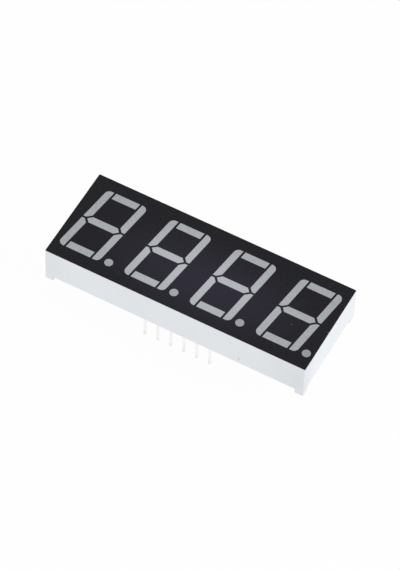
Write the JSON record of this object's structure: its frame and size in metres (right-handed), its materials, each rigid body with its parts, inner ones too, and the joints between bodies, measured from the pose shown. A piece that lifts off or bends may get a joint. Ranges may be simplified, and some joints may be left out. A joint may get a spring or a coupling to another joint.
{
  "type": "seven segment display module",
  "caption": "Flat white-cased LED display with slanted seven-segment digits and decimal points in a black face, and two rows of round solder pins below.",
  "frame": {"origin": "centre of the pin pattern in the seating plane, under the corner feet", "axes": "+X along the row of digits in reading order, +Y to the digits' tops, +Z out of the display face; the pins point along -Z"},
  "size_m": [0.0502, 0.019, 0.0138],
  "materials": {
    "case_plastic": "fine moulded matte, cool white",
    "black_coat": "printed matte black ink",
    "segment_epoxy": "diffused milky epoxy, satin",
    "board_laminate": "glass-fibre laminate with solder mask",
    "led_die": "sawn semiconductor",
    "gold_wire": "drawn gold",
    "tinned_pin": "hot tinned wire",
    "solder": "reflowed tin solder",
    "potting_epoxy": "cast milky epoxy"
  },
  "bodies": {
    "root": {"reflector_case": "case_plastic", "face_coat": "black_coat", "digit_1_segment_a": "segment_epoxy", "digit_1_segment_b": "segment_epoxy", "digit_1_segment_c": "segment_epoxy", "digit_1_segment_d": "segment_epoxy", "digit_1_segment_e": "segment_epoxy", "digit_1_segment_f": "segment_epoxy", "digit_1_segment_g": "segment_epoxy", "digit_2_segment_a": "segment_epoxy", "digit_2_segment_b": "segment_epoxy", "digit_2_segment_c": "segment_epoxy", "digit_2_segment_d": "segment_epoxy", "digit_2_segment_e": "segment_epoxy", "digit_2_segment_f": "segment_epoxy", "digit_2_segment_g": "segment_epoxy", "digit_3_segment_a": "segment_epoxy", "digit_3_segment_b": "segment_epoxy", "digit_3_segment_c": "segment_epoxy", "digit_3_segment_d": "segment_epoxy", "digit_3_segment_e": "segment_epoxy", "digit_3_segment_f": "segment_epoxy", "digit_3_segment_g": "segment_epoxy", "digit_4_segment_a": "segment_epoxy", "digit_4_segment_b": "segment_epoxy", "digit_4_segment_c": "segment_epoxy", "digit_4_segment_d": "segment_epoxy", "digit_4_segment_e": "segment_epoxy", "digit_4_segment_f": "segment_epoxy", "digit_4_segment_g": "segment_epoxy", "digit_1_point": "segment_epoxy", "digit_2_point": "segment_epoxy", "digit_3_point": "segment_epoxy", "digit_4_point": "segment_epoxy", "circuit_board": "board_laminate", "digit_1_dies": "led_die", "digit_2_dies": "led_die", "digit_3_dies": "led_die", "digit_4_dies": "led_die", "digit_1_bond_wires": "gold_wire", "digit_2_bond_wires": "gold_wire", "digit_3_bond_wires": "gold_wire", "digit_4_bond_wires": "gold_wire", "pin_1": "tinned_pin", "pin_2": "tinned_pin", "pin_3": "tinned_pin", "pin_4": "tinned_pin", "pin_5": "tinned_pin", "pin_6": "tinned_pin", "pin_7": "tinned_pin", "pin_8": "tinned_pin", "pin_9": "tinned_pin", "pin_10": "tinned_pin", "pin_11": "tinned_pin", "pin_12": "tinned_pin", "solder_joints": "solder", "back_potting": "potting_epoxy"}
  },
  "joints": []
}
